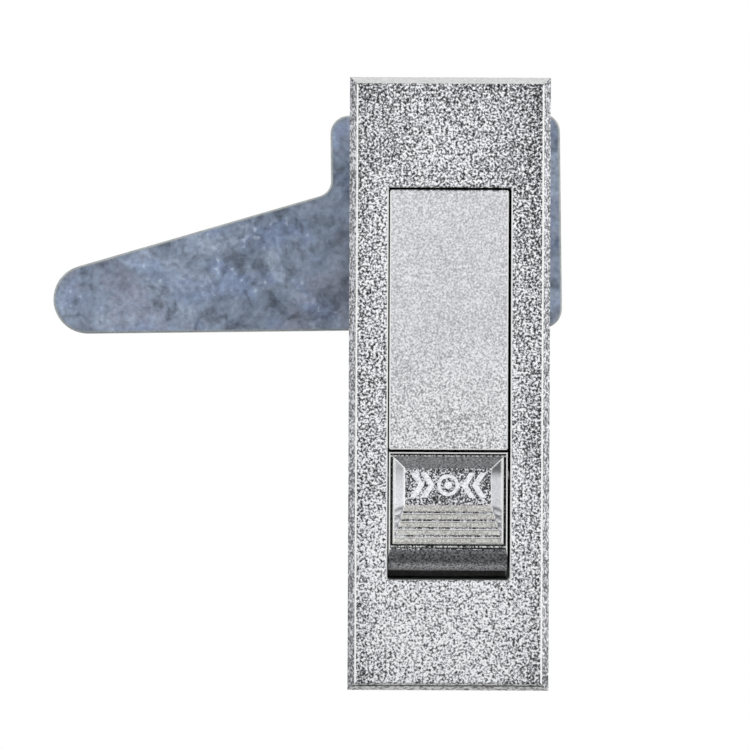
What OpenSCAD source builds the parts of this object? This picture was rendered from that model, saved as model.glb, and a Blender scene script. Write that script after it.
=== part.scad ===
// Flush cabinet lock: a sunk plate with a flap handle, a rocker button that
// lets the handle spring out, and a tongue behind that holds the door shut.
// Millimetres. X is to the right, Z is up, and the face looks along -Y.
// Y = 0 is the outside of the door, and the origin is the centre of its cut-out.
// Most sizes along Y are given as a depth behind the face.

/* [Face plate] */
// Thickness of the face plate
flange_t = 3.0; // [2.4:0.1:3.6]
// Width of the bevel round the face plate
bevel_w = 1.0; // [0.5:0.1:1.6]
// Depth of the bevel
bevel_t = 1.4; // [0.8:0.1:2.0]
// Width of the narrow ridge between the bevel and the face
ridge_w = 0.25; // [0.1:0.05:0.5]
// Depth of that ridge
ridge_t = 0.1; // [0.05:0.01:0.2]
// How far the face plate laps the body at each side
side_lap = 2.75; // [2.4:0.05:5]
// How far the face plate laps the body at each end
end_lap = 4.0; // [2.5:0.1:6]

/* [Recess] */
// Width of the recess
recess_w = 18.0; // [17:0.1:22]
// Corner radius of the recess
recess_r = 0.5; // [0.2:0.1:1]
// Edge break round the recess, the handle and the button
edge_break = 0.2; // [0.05:0.01:0.25]
// Depth of the recess floor
floor_depth = 12.6; // [12.4:0.1:15]
// Gap beside the handle and the button
side_gap = 0.3; // [0.2:0.01:0.5]
// How far the handle and the button sit to the left in that play
side_shift = 0.1; // [0:0.01:0.15]
// Gap above the handle, and between the handle and the button
flap_gap = 0.33; // [0.25:0.01:0.45]
// Gap below the button's round end
end_gap = 1.26; // [0.9:0.01:2]

/* [Body] */
// Side wall of the body
side_wall = 3.0; // [2.4:0.1:5]
// Wall above and below the recess
end_wall = 3.65; // [3.4:0.05:6]
// Length of each clamp block beyond that wall
block_len = 8.6; // [8.2:0.1:12]
// Depth of the clamp blocks
block_depth = 11.0; // [9.5:0.1:12]
// Wall behind the recess
back_wall = 2.4; // [1.8:0.1:4]
// Corner radius of the body
body_r = 2.0; // [0.5:0.1:3]
// Step at each side of the body behind the clamp blocks
rear_step = 0.2; // [0.1:0.05:0.25]
// Radius of the spindle boss
boss_r = 7.5; // [7:0.1:8]
// Length of the spindle boss
boss_len = 2.0; // [1:0.1:4]

/* [Gasket and door] */
// Thickness of the gasket
gasket_t = 1.0; // [0.5:0.1:1.5]
// How far the gasket stays inside the face plate's edge
gasket_inset = 0.3; // [0.1:0.05:0.8]
// Room between the gasket and the body
gasket_gap = 0.2; // [0.1:0.05:0.4]
// Thickness of the door sheet that the clamps hold
door_t = 2.5; // [2.2:0.1:4]

/* [Handle] */
// Length of the handle
handle_len = 38.1; // [36:0.1:50]
// Skin of the handle
handle_skin = 1.5; // [1.2:0.1:1.7]
// Corner radius of the handle
handle_r = 0.4; // [0.2:0.05:0.8]
// Depth of the handle's rim
rim_depth = 3.3; // [2.8:0.1:3.6]
// Width of the rim
rim_w = 1.3; // [1:0.1:1.5]
// Lean of the handle's lower end, in degrees
undercut = 20; // [10:1:25]
// Distance of the handle pin from the top of the recess
pin_drop = 4.25; // [4:0.05:4.8]
// Depth of the handle pin
pin_depth = 5.0; // [4.8:0.1:5.4]
// Radius of the handle pin
pin_r = 1.25; // [1:0.05:1.4]
// Radius of the lugs and the yoke's ears round the pin
lug_r = 2.4; // [2.2:0.05:2.6]
// Thickness of each handle lug
lug_t = 2.2; // [1.6:0.1:2.4]
// Depth at which the toe starts, behind the button's nose
toe_front = 3.0; // [2.9:0.05:3.2]
// Thickness of the toe
toe_t = 1.6; // [1.2:0.1:2]
// Room between the toe's tip and the top of the nose
toe_clear = 0.1; // [0.05:0.01:0.15]
// Height of the toe's neck above the handle's rim
toe_neck = 1.2; // [0.8:0.1:2]
// Corner cut of the toe
toe_nip = 0.4; // [0.2:0.05:0.5]
// Width of the toe
toe_w = 10; // [6:0.5:12]
// Thickness of the ribs inside the handle
rib_t = 0.9; // [0.6:0.1:1.2]
// Distance of those ribs from the middle
rib_off = 4.35; // [3:0.05:6]

/* [Yoke and spring] */
// Thickness of the yoke's ears
ear_t = 1.5; // [1:0.1:1.7]
// Distance between the yoke's ears
ear_gap = 8.0; // [7.2:0.1:8.4]
// Thickness of the yoke's base
yoke_t = 1.5; // [1.2:0.1:1.8]
// Half length of the yoke's base
yoke_half = 4.0; // [3.6:0.1:4.1]
// Wire radius of the handle spring
handle_wire_r = 0.35; // [0.25:0.01:0.38]
// Turns of the handle spring
handle_turns = 5; // [4:1:6]
// Length of the spring's leg behind the handle
handle_leg = 10; // [7:0.5:13]

/* [Button] */
// Length of the button
button_len = 17.47; // [16:0.01:22]
// Thickness of the button's front
button_t = 3.2; // [3:0.1:3.6]
// Thickness of the nose that holds the toe
nose_t = 2.7; // [2.5:0.05:2.75]
// Length of the nose
nose_len = 1.3; // [1.2:0.1:1.6]
// Radius of the button's round lower end
round_r = 3.41; // [2.5:0.01:4]
// Depth of the wall at that end
end_depth = 6.2; // [5:0.1:7]
// Thickness of that wall and of the cheeks
cheek_t = 1.6; // [1:0.1:2.4]
// Distance of the button pin from the button's top
button_pin_drop = 3.47; // [3.4:0.01:3.9]
// Depth of the button pin
button_pin_depth = 7.0; // [6.6:0.1:7.6]
// Radius of the button pin
button_pin_r = 1.0; // [0.7:0.05:1.2]
// Radius of the cheeks round the pin
cheek_r = 2.2; // [1.8:0.05:2.3]
// Rim left round the dish
dish_rim = 0.85; // [0.5:0.05:1.2]
// Depth of the upright wall inside the rim
dish_step = 0.35; // [0.2:0.05:0.5]
// Depth of the dish's floor
dish_depth = 1.6; // [1.2:0.05:1.8]
// Width of the dish's sloping sides
dish_slope = 1.55; // [1:0.05:2]
// Length of the dish's flat floor
dish_floor = 5.43; // [4:0.01:7]
// Edge break inside the rim
dish_break = 0.25; // [0.1:0.01:0.25]
// Distance between the grooves that make the thumb ribs
groove_pitch = 1.14; // [0.9:0.01:1.6]
// Radius of a groove
groove_r = 0.25; // [0.1:0.01:0.3]
// Distance of the button spring from the button's lower end
spring_up = 7.0; // [5.4:0.1:7.4]
// Mean radius of the button spring
button_coil_r = 2.2; // [1.9:0.05:2.5]
// Wire radius of the button spring
button_wire_r = 0.3; // [0.2:0.01:0.35]
// Turns of the button spring
button_turns = 5; // [4:1:7]
// Height of the spigots that hold the spring's ends
spigot_h = 1.2; // [0.8:0.1:1.6]

/* [Spindle] */
// Radius of the spindle's journal
journal_r = 3.9; // [3.5:0.05:4]
// Radius of the tenon in the yoke
tenon_r = 2.6; // [2.2:0.05:2.8]
// Radius of the tenon's head
head_r = 3.2; // [3:0.05:3.4]
// Thickness of the tenon's head
head_t = 0.8; // [0.5:0.05:1.2]
// Radius of the spindle's flange
collar_r = 6.8; // [6:0.1:7.4]
// Thickness of that flange
collar_t = 1.2; // [0.9:0.1:1.8]
// Width of the square that carries the cam
square_w = 7.0; // [6.6:0.1:7.4]
// Radius of the threaded end
thread_r = 3.0; // [2.5:0.1:3.2]
// How far the thread stands past the nut
thread_over = 1.0; // [0.4:0.1:3]
// Wall of the bush
bush_wall = 1.2; // [0.8:0.05:1.6]
// Radius of the bush's flange
bush_flange_r = 6.5; // [6:0.1:7]
// Thickness of the bush's flange
bush_flange_t = 0.8; // [0.6:0.1:1.2]
// Thickness of the friction washer
friction_t = 0.6; // [0.4:0.1:1]
// Wire radius of the O-ring
ring_r = 0.42; // [0.3:0.01:0.6]
// Running clearance on radius
running = 0.05; // [0.03:0.01:0.08]

/* [Cam and stop] */
// Thickness of the cam
cam_t = 2.5; // [2:0.1:4]
// Width of the cam's hub
hub_w = 34.8; // [30:0.1:40]
// Height of the cam's hub
hub_h = 32.6; // [28:0.1:36]
// How far the hub stands towards the tongue from the spindle
hub_shift = 0.2; // [0:0.05:1]
// Corner radius of the hub's top
hub_top_r = 2.8; // [1:0.1:6]
// Corner radius of the hub's foot
hub_foot_r = 3.0; // [1:0.1:6]
// Reach of the tongue from the spindle
tongue_reach = 59.9; // [45:0.1:80]
// End radius of the tongue
tongue_r = 5.2; // [4:0.1:7]
// Slope of the tongue's upper edge, in degrees
tongue_slope = 15.56; // [8:0.01:20]
// Fillet where the tongue's upper edge meets the hub
tongue_fillet = 2.4; // [1:0.1:5]
// Sag of the cam through the play on its square, in degrees
cam_sag = 0.9; // [0:0.1:0.9]
// Play between the square and what sits on it
square_play = 0.1; // [0.08:0.01:0.15]
// Thickness of the stop washer
stop_t = 1.4; // [1:0.1:2]
// Radius of the stop washer
stop_r = 7.0; // [6.6:0.1:8]
// Width of its tab
tab_w = 5.0; // [4:0.1:6]
// Reach of its tab
tab_reach = 11.8; // [11:0.1:12.4]
// Radius of the stop posts
post_r = 1.5; // [1.2:0.1:1.6]
// Distance of each stop post along the tab
post_along = 10.2; // [9.8:0.1:10.4]
// Room between the tab and a post
post_gap = 0.1; // [0.05:0.01:0.3]
// Thickness of the plain washer
washer_t = 1.2; // [0.8:0.1:2]
// Radius of the plain washer
washer_r = 6.2; // [5.8:0.1:8]
// Thickness of the split washer
split_t = 1.6; // [1:0.1:2]
// Radius of the split washer
split_r = 5.4; // [5:0.1:6]
// Width of its slit
slit_w = 0.8; // [0.4:0.1:1.5]
// Where its slit stands, in degrees from the top
slit_turn = 20; // [0:5:90]
// Height of the nut
nut_h = 5.0; // [4:0.1:6]
// Width of the nut across its flats
nut_w = 10.0; // [9:0.1:11]

/* [Clamps] */
// Thickness of the clamp brackets
clamp_t = 1.5; // [1.2:0.1:2]
// Width of the clamp brackets
clamp_w = 7.0; // [5.5:0.1:7.2]
// Room between the body and a clamp's legs
clamp_gap = 0.3; // [0.1:0.05:0.5]
// Room left behind the clamp block for tightening
clamp_room = 0.6; // [0.2:0.1:2]
// Bend radius of the clamps, outside
clamp_bend = 2.2; // [1.6:0.1:3]
// Radius of the clamp screws
screw_r = 1.95; // [1.45:0.05:2.05]
// Radius of the screw heads
screw_head_r = 3.6; // [3.2:0.1:3.8]
// Height of the screw heads
screw_head_h = 2.4; // [1.8:0.1:3]
// Width of the cross slot in a screw head
slot_w = 0.9; // [0.6:0.1:1.2]
// Depth of that slot
slot_depth = 1.2; // [0.8:0.1:1.6]
// Edge break of the screw heads, the nut and the spindle's end
metal_break = 0.5; // [0.2:0.1:0.8]
// How far a screw reaches into its block
screw_grip = 6.0; // [4:0.1:6.4]
// Thickness of the washers under the heads
screw_washer_t = 0.9; // [0.5:0.1:1.4]

/* [Hidden] */
$fn = 64;
// Overlap of pieces that are joined, and overshoot of cuts
weld = 0.2;
over = 1;

// Room between two faces that slide on each other
slide = 0.05;
// Clearance of a pressed or screwed piece in its hole
snug = 0.03;
// Angle of each step along a round outline
arc_step = 6;
// Rings of wire in each turn of a coil
coil_rings = 16;

// Face, body and recess
handle_w = recess_w - 2 * side_gap;
recess_h = handle_len + button_len + 2 * flap_gap + end_gap;
recess_top = recess_h / 2;
body_w = recess_w + 2 * side_wall;
main_h = recess_h + 2 * end_wall;
body_h = main_h + 2 * block_len;
face_w = body_w + 2 * side_lap;
face_h = body_h + 2 * end_lap;
body_depth = floor_depth + back_wall;
boss_end = body_depth + boss_len;

// Handle and its pin
handle_top = recess_top - flap_gap;
handle_bottom = handle_top - handle_len;
axis_z = recess_top - pin_drop;
relief_r = norm([handle_top - axis_z, pin_depth]) + slide;
lug_mid = ear_gap / 2 + ear_t + side_gap + lug_t / 2;
pin_len = 2 * (lug_mid + lug_t / 2 + weld);
handle_coil_r = pin_r + side_gap + handle_wire_r;
coil_turns = handle_turns + 0.5;
coil_pitch = 2 * handle_wire_r + slide;
coil_half = coil_turns * coil_pitch / 2;

// Button and its pin
button_top = handle_bottom - flap_gap;
button_bottom = button_top - button_len;
button_pin_z = button_top - button_pin_drop;
button_flat_end = button_bottom + round_r;
dish_top = button_top - dish_rim;
dish_end = button_flat_end + dish_rim;
dish_w = handle_w - 2 * dish_rim;
floor_top = dish_top - dish_slope;
floor_end = floor_top - dish_floor;
floor_w = dish_w - 2 * dish_slope;
ramp_len = floor_end - dish_end;
groove_count = floor(ramp_len / groove_pitch - 0.5);
spring_z = button_bottom + spring_up;
spigot_r = button_coil_r - button_wire_r - side_gap;
toe_tip = button_top + toe_clear;

// Stack along the spindle, as depths
yoke_back = floor_depth - 2 * slide;
yoke_front = yoke_back - yoke_t;
tenon_front = yoke_front - slide - head_t;
journal_front = yoke_back + slide;
bush_end = boss_end + bush_flange_t;
collar_front = bush_end + friction_t;
stop_front = collar_front + collar_t;
cam_front = stop_front + stop_t;
cam_back = cam_front + cam_t;
split_front = cam_back + washer_t;
nut_front = split_front + split_t;
nut_back = nut_front + nut_h;
spindle_end = nut_back + thread_over;
square_end = cam_back - weld;
bush_r = journal_r + running + bush_wall;
groove_depth = (floor_depth + boss_end) / 2;
post_off = tab_w / 2 + post_gap + post_r;
post_end = cam_front - side_gap;

// Clamps
clamp_z = main_h / 2 + block_len / 2;
clamp_front = block_depth + clamp_room;
clamp_back = clamp_front + clamp_t;
clamp_tip = flange_t + gasket_t + door_t;
clamp_half = body_w / 2 + clamp_gap + clamp_t;
screw_seat = clamp_back + screw_washer_t;
screw_tip = block_depth - screw_grip;

// A depth behind the face as a place along Y
function at(depth) = depth - flange_t - gasket_t;

// Thickens an outline drawn in X and Z, from one depth to another
module slab(from, to)
    translate([0, at(to), 0])
        rotate([90, 0, 0])
            linear_extrude(to - from)
                children();

// Draws a profile of depth and Z out along X
module across(width, middle = 0)
    translate([middle - width / 2, at(0), 0])
        rotate([90, 0, 90])
            linear_extrude(width)
                children();

// Round bar along Y
module bar_y(r, from, to, x = 0, z = 0)
    translate([x, at(to), z])
        rotate([90, 0, 0])
            cylinder(r = r, h = to - from);

// Cone along Y whose radius changes evenly from one depth to another
module cone_y(r_from, r_to, from, to, z)
    translate([0, at(to), z])
        rotate([90, 0, 0])
            cylinder(r1 = r_to, r2 = r_from, h = to - from);

// Round bar along X
module bar_x(r, length, depth, z)
    translate([-length / 2, at(depth), z])
        rotate([0, 90, 0])
            cylinder(r = r, h = length);

// Ring round a line along Y
module ring_y(r_in, r_out, from, to, z)
    translate([0, at(to), z])
        rotate([90, 0, 0])
            linear_extrude(to - from)
                difference() {
                    circle(r = r_out);
                    circle(r = r_in);
                }

// Block drawn from rows, front to back, of a depth, a half width and two ends in Z
module block(rows) {
    half = max([for (row = rows) row[1]]) + over;
    low = min([for (row = rows) row[2]]) - over;
    high = max([for (row = rows) row[3]]) + over;
    back = [for (i = [len(rows) - 1 : -1 : 0]) rows[i]];
    intersection() {
        translate([0, 0, low])
            linear_extrude(high - low)
                polygon(concat([for (row = rows) [row[1], at(row[0])]],
                    [for (row = back) [-row[1], at(row[0])]]));
        across(2 * half)
            polygon(concat([for (row = rows) [row[0], row[3]]],
                [for (row = back) [row[0], row[2]]]));
    }
}

// Row at a depth for a width and a span in Z, both drawn in at each side
function row(depth, w, range, by = 0) = [depth, w / 2 - by, range[0] + by, range[1] - by];

// Span in Z of a centred height
function span(height) = [-height / 2, height / 2];

// Cut that breaks the front edge of an opening of a width and a span in Z
module edge_cut(w, range, by)
    block([row(-by, w, range, -2 * by), row(by + by / 2, w, range, by / 2)]);

// Rectangle with round corners
module rounded(w, h, r) {
    square([w - 2 * r, h], center = true);
    square([w, h - 2 * r], center = true);
    for (x = [-1, 1], z = [-1, 1])
        translate([x * (w / 2 - r), z * (h / 2 - r)])
            circle(r = r);
}

// Rectangle of a width, from one height to another
module strip(w, low, high)
    translate([-w / 2, low])
        square([w, high - low]);

// Wire swept along a path, with the path's winding axis to hold its rings true
function unit(v) = v / norm(v);
function heading(path, i) =
    unit(path[min(i + 1, len(path) - 1)] - path[max(i - 1, 0)]);
function wire_ring(path, i, axis, r, sides) =
    let (t = heading(path, i), n = unit(cross(t, axis)), b = cross(t, n))
    [for (k = [0 : sides - 1])
        path[i] + r * (cos(360 * k / sides) * n + sin(360 * k / sides) * b)];

module wire(path, axis, r, sides = 8)
    loft([for (i = [0 : len(path) - 1]) wire_ring(path, i, axis, r, sides)]);

// Skin over a row of rings that have as many points each
module loft(rings) {
    count = len(rings);
    sides = len(rings[0]);
    near = [for (i = [0 : count - 2], k = [0 : sides - 1])
        [i * sides + k, (i + 1) * sides + k, i * sides + (k + 1) % sides]];
    far = [for (i = [0 : count - 2], k = [0 : sides - 1])
        [i * sides + (k + 1) % sides, (i + 1) * sides + k,
            (i + 1) * sides + (k + 1) % sides]];
    first = [[for (k = [0 : sides - 1]) k]];
    last = [[for (k = [sides - 1 : -1 : 0]) (count - 1) * sides + k]];
    polyhedron([for (ring = rings) each ring], concat(near, far, first, last));
}

// Housing: bevelled face plate, body, clamp blocks, spindle boss and stop posts
module face_plate()
    block([row(0, face_w, span(face_h), bevel_w + ridge_w),
        row(ridge_t, face_w, span(face_h), bevel_w),
        row(bevel_t, face_w, span(face_h)), row(flange_t, face_w, span(face_h))]);

module stop_posts() {
    bar_y(post_r, body_depth - weld, post_end, post_along, axis_z + post_off);
    bar_y(post_r, body_depth - weld, post_end, -post_off, axis_z - post_along);
}

module housing() color("gainsboro") {
    difference() {
        union() {
            face_plate();
            slab(flange_t - weld, block_depth)
                rounded(body_w, body_h, body_r);
            slab(block_depth - weld, body_depth)
                rounded(body_w - 2 * rear_step, main_h, body_r);
            bar_y(boss_r, body_depth - weld, boss_end, 0, axis_z);
            stop_posts();
        }
        slab(-over, floor_depth)
            rounded(recess_w, recess_h, recess_r);
        edge_cut(recess_w, span(recess_h), edge_break);
        bar_x(relief_r, recess_w - 2 * slide, pin_depth, axis_z);
        bar_y(bush_r + snug, floor_depth - over, boss_end + over, 0, axis_z);
        bar_x(button_pin_r + snug, body_w + over, button_pin_depth, button_pin_z);
        for (end = [-1, 1])
            bar_y(screw_r + snug, screw_tip - snug, block_depth + over, 0, end * clamp_z);
    }
    bar_y(spigot_r, floor_depth - spigot_h, floor_depth + weld, 0, spring_z);
}

module flange_gasket() color([0.12, 0.12, 0.13])
    slab(flange_t, flange_t + gasket_t)
        difference() {
            square([face_w - 2 * gasket_inset, face_h - 2 * gasket_inset], center = true);
            rounded(body_w + 2 * gasket_gap, body_h + 2 * gasket_gap, body_r + gasket_gap);
        }

// Clamp bracket: U bent from strip, seen along Z
module clamp_outline()
    difference() {
        union() {
            translate([-clamp_half, at(clamp_tip)])
                square([2 * clamp_half, clamp_back - clamp_tip - clamp_bend]);
            translate([-clamp_half + clamp_bend, at(clamp_tip)])
                square([2 * (clamp_half - clamp_bend), clamp_back - clamp_tip]);
            for (x = [-1, 1])
                translate([x * (clamp_half - clamp_bend), at(clamp_back - clamp_bend)])
                    circle(r = clamp_bend);
        }
        translate([-clamp_half + clamp_t, at(clamp_tip) - over])
            square([2 * (clamp_half - clamp_t), clamp_front - clamp_tip + over]);
    }

module clamp_brackets() color("lightsteelblue")
    for (end = [-1, 1])
        difference() {
            translate([0, 0, end * clamp_z - clamp_w / 2])
                linear_extrude(clamp_w)
                    clamp_outline();
            bar_y(screw_r + side_gap, clamp_front - over, clamp_back + over, 0, end * clamp_z);
        }

module clamp_screws() color("silver")
    for (end = [-1, 1])
        difference() {
            union() {
                bar_y(screw_r, screw_tip, screw_seat + weld, 0, end * clamp_z);
                bar_y(screw_head_r, screw_seat, screw_seat + screw_head_h - metal_break, 0,
                    end * clamp_z);
                cone_y(screw_head_r, screw_head_r - metal_break,
                    screw_seat + screw_head_h - metal_break, screw_seat + screw_head_h,
                    end * clamp_z);
            }
            for (turn = [0, 90])
                translate([0, 0, end * clamp_z])
                    rotate([0, turn, 0])
                        slab(screw_seat + screw_head_h - slot_depth,
                            screw_seat + screw_head_h + over)
                            square([screw_head_r, slot_w], center = true);
        }

module clamp_washers() color("silver")
    for (end = [-1, 1])
        ring_y(screw_r + side_gap, screw_head_r, clamp_back, screw_seat, end * clamp_z);

// Handle: a shallow pan with lugs at its top and a toe at its foot
module handle_pan() {
    outline = [handle_bottom, handle_top];
    lean = rim_depth * tan(undercut);
    intersection() {
        block([row(0, handle_w, outline, edge_break), row(edge_break, handle_w, outline),
            row(rim_depth, handle_w, outline)]);
        across(handle_w + over)
            polygon([[-over, handle_bottom], [0, handle_bottom],
                [rim_depth + over, handle_bottom + lean + over * tan(undercut)],
                [rim_depth + over, handle_top + over], [-over, handle_top + over]]);
        translate([0, 0, (handle_bottom + handle_top) / 2])
            slab(-over, rim_depth + over)
                rounded(handle_w, handle_len, handle_r);
    }
}

module handle_lug()
    union() {
        translate([pin_depth, axis_z])
            circle(r = lug_r);
        translate([handle_skin - weld, axis_z - lug_r])
            square([pin_depth - handle_skin + weld, 2 * lug_r]);
    }

module handle_toe() {
    toe_back = toe_front + toe_t;
    neck_low = handle_bottom + rim_depth * tan(undercut) + weld;
    neck_high = handle_bottom + rim_w + toe_neck + 2 * flap_gap;
    polygon([[handle_skin - weld, neck_high], [toe_back - toe_nip, neck_high],
        [toe_back, neck_high - toe_nip], [toe_back, toe_tip + toe_nip],
        [toe_back - toe_nip, toe_tip], [toe_front + toe_nip, toe_tip],
        [toe_front, toe_tip + toe_nip], [toe_front, neck_low], [handle_skin - weld, neck_low]]);
}

module handle() color([0.8, 0.81, 0.83])
    translate([-side_shift, 0, 0])
        difference() {
            union() {
                difference() {
                    handle_pan();
                    slab(handle_skin, rim_depth + over)
                        strip(handle_w - 2 * rim_w, handle_bottom + rim_w + toe_neck,
                            handle_top - rim_w);
                }
                for (x = [-1, 1]) {
                    across(lug_t, x * lug_mid)
                        handle_lug();
                    translate([x * rib_off, 0, 0])
                        slab(handle_skin - weld, rim_depth - side_gap)
                            strip(rib_t, handle_bottom + rim_w, axis_z - lug_r - handle_leg);
                }
                across(toe_w)
                    handle_toe();
            }
            bar_x(pin_r + running, handle_w + over, pin_depth, axis_z);
        }

module handle_pin() color("silver")
    bar_x(pin_r, pin_len, pin_depth, axis_z);

// Yoke: a fork that holds the handle pin, on the front end of the spindle
module handle_yoke() color("darkgray")
    difference() {
        union() {
            for (x = [-1, 1])
                across(ear_t, x * (ear_gap + ear_t) / 2) {
                    translate([pin_depth, axis_z])
                        circle(r = lug_r);
                    translate([pin_depth, axis_z - lug_r])
                        square([yoke_back - pin_depth, 2 * lug_r]);
                }
            slab(yoke_front, yoke_back)
                strip(ear_gap + 2 * ear_t, axis_z - yoke_half, axis_z + yoke_half);
        }
        bar_x(pin_r + snug, pin_len, pin_depth, axis_z);
        bar_y(tenon_r + running, yoke_front - over, yoke_back + over, 0, axis_z);
    }

// Handle spring: coil round the pin, one leg behind the handle, one on the yoke
function handle_coil(i, steps) =
    let (turn = i / steps * coil_turns)
    [turn * coil_pitch - coil_half, at(pin_depth) - handle_coil_r * cos(360 * turn),
        axis_z + handle_coil_r * sin(360 * turn)];

module handle_spring() color("slategray") {
    steps = coil_rings * coil_turns;
    front = at(handle_skin + handle_wire_r + slide);
    seat = at(yoke_front - handle_wire_r - slide);
    foot_z = axis_z - yoke_half + handle_wire_r + slide;
    wire(concat(
            [[-coil_half, front, axis_z - handle_leg], [-coil_half, front, axis_z - lug_r]],
            [for (i = [0 : steps]) handle_coil(i, steps)],
            [[coil_half, seat, foot_z]]),
        [1, 0, 0], handle_wire_r);
}

// Button: a rocker with a dished, grooved front, a nose and two cheeks
module button_profile() {
    translate([-over, button_flat_end])
        square([over + button_t, button_top - nose_len - button_flat_end]);
    translate([-over, button_flat_end])
        square([over + nose_t, button_top - button_flat_end + over]);
    intersection() {
        translate([round_r, button_flat_end])
            circle(r = round_r);
        translate([0, button_bottom])
            square([round_r, round_r]);
    }
    translate([round_r - weld, button_bottom])
        square([end_depth - round_r + weld, cheek_t]);
}

module button_cheek() {
    translate([button_pin_depth, button_pin_z])
        circle(r = cheek_r);
    polygon([[nose_t - weld, button_pin_z + cheek_r], [button_pin_depth, button_pin_z + cheek_r],
        [button_pin_depth + cheek_r, button_pin_z], [end_depth, button_bottom],
        [round_r, button_bottom], [nose_t - weld, button_flat_end]]);
}

module button_dish() {
    outline = [dish_end, dish_top];
    block([row(-over, dish_w, outline, -dish_break), row(0, dish_w, outline, -dish_break),
        row(dish_break, dish_w, outline), row(dish_step, dish_w, outline),
        row(dish_depth, floor_w, [floor_end, floor_top])]);
}

module thumb_grooves()
    for (i = [1 : groove_count]) {
        share = i * groove_pitch / ramp_len;
        bar_x(groove_r, floor_w + (dish_w - floor_w) * share - 2 * slide,
            dish_depth + (dish_step - dish_depth) * share, floor_end - ramp_len * share);
    }

module push_button() color([0.72, 0.72, 0.74]) {
    outline = [button_bottom - over, button_top];
    translate([-side_shift, 0, 0])
        difference() {
            intersection() {
                union() {
                    across(handle_w + over)
                        button_profile();
                    for (x = [-1, 1])
                        across(cheek_t + over, x * (handle_w - cheek_t + over) / 2)
                            button_cheek();
                    bar_y(spigot_r, button_t - weld, button_t + spigot_h, 0, spring_z);
                }
                block([row(0, handle_w, outline, edge_break), row(edge_break, handle_w, outline),
                    row(button_pin_depth + cheek_r + over, handle_w, outline)]);
            }
            button_dish();
            thumb_grooves();
            bar_x(button_pin_r + running, handle_w + over, button_pin_depth, button_pin_z);
        }
}

module button_pin() color("silver")
    bar_x(button_pin_r, body_w - side_gap, button_pin_depth, button_pin_z);

// Button spring: coil from the button's back to the recess floor
module button_spring() color("slategray") {
    steps = coil_rings * button_turns;
    start = at(button_t) + button_wire_r + slide;
    finish = at(floor_depth) - button_wire_r - slide;
    wire([for (i = [0 : steps])
            let (angle = 360 * button_turns * i / steps)
            [button_coil_r * cos(angle), start + (finish - start) * i / steps,
                spring_z + button_coil_r * sin(angle)]],
        [0, 1, 0], button_wire_r);
}

// Spindle: tenon and head in the yoke, journal, flange, square and threaded end
module spindle() color("silver")
    difference() {
        union() {
            bar_y(head_r, tenon_front, yoke_front - slide, 0, axis_z);
            bar_y(tenon_r, tenon_front, journal_front + weld, 0, axis_z);
            bar_y(journal_r, journal_front, collar_front + weld, 0, axis_z);
            bar_y(collar_r, collar_front, stop_front, 0, axis_z);
            translate([0, 0, axis_z])
                slab(stop_front - weld, square_end)
                    square(square_w, center = true);
            bar_y(thread_r, square_end - weld, spindle_end - metal_break, 0, axis_z);
            cone_y(thread_r, thread_r - metal_break, spindle_end - metal_break, spindle_end,
                axis_z);
        }
        ring_y(journal_r - 2 * ring_r, journal_r + over, groove_depth - ring_r - snug,
            groove_depth + ring_r + snug, axis_z);
    }

module spindle_bush() color("darkgoldenrod") {
    ring_y(journal_r + running, bush_r, floor_depth, bush_end, axis_z);
    ring_y(bush_r - weld, bush_flange_r, boss_end, bush_end, axis_z);
}

module spindle_o_ring() color([0.1, 0.1, 0.1])
    translate([0, at(groove_depth), axis_z])
        rotate([90, 0, 0])
            rotate_extrude()
                translate([journal_r - ring_r + snug / 2, 0])
                    circle(r = ring_r - snug / 2, $fn = 24);

module friction_washer() color("peru")
    ring_y(journal_r + running, bush_flange_r, bush_end, collar_front, axis_z);

// Square hole of the pieces that the spindle turns
module square_hole()
    square(square_w + 2 * square_play, center = true);

module stop_washer() color("silver")
    translate([0, 0, axis_z])
        slab(stop_front, cam_front)
            difference() {
                union() {
                    circle(r = stop_r);
                    translate([0, -tab_w / 2])
                        square([tab_reach, tab_w]);
                }
                square_hole();
            }

// Cam: hub plate with a tongue whose upper edge slopes up to a fillet at the hub
function arc(centre, r, from, to) =
    let (steps = ceil(abs(to - from) / arc_step))
    [for (i = [0 : steps])
        let (angle = from + (to - from) * i / steps)
        centre + r * [cos(angle), sin(angle)]];

module cam_outline() {
    left = -hub_w / 2 - hub_shift;
    right = hub_w / 2 - hub_shift;
    top = hub_h / 2;
    slope = tongue_slope;
    tip = [tongue_r - tongue_reach, tongue_r - top];
    touch = tip + tongue_r * [-sin(slope), cos(slope)];
    root_z = touch[1] + (left - touch[0]) * tan(slope);
    fillet_z = root_z + tongue_fillet * (1 / cos(slope) - tan(slope));
    polygon(concat(
        arc([right - hub_foot_r, hub_foot_r - top], hub_foot_r, -90, 0),
        arc([right - hub_top_r, top - hub_top_r], hub_top_r, 0, 90),
        arc([left + hub_top_r, top - hub_top_r], hub_top_r, 90, 180),
        arc([left - tongue_fillet, fillet_z], tongue_fillet, 0, slope - 90),
        arc(tip, tongue_r, 90 + slope, 270)));
}

module cam() color([0.47, 0.51, 0.58])
    translate([0, 0, axis_z])
        rotate([0, -cam_sag, 0])
            slab(cam_front, cam_back)
                difference() {
                    cam_outline();
                    square_hole();
                }

module cam_washer() color("silver")
    ring_y(thread_r + snug + slide, washer_r, cam_back, split_front, axis_z);

module cam_lock_washer() color("dimgray")
    difference() {
        ring_y(thread_r + snug + slide, split_r, split_front, nut_front, axis_z);
        translate([0, 0, axis_z])
            rotate([0, slit_turn, 0])
                slab(split_front - over, nut_front + over)
                    strip(slit_w, 0, split_r + over);
    }

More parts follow.
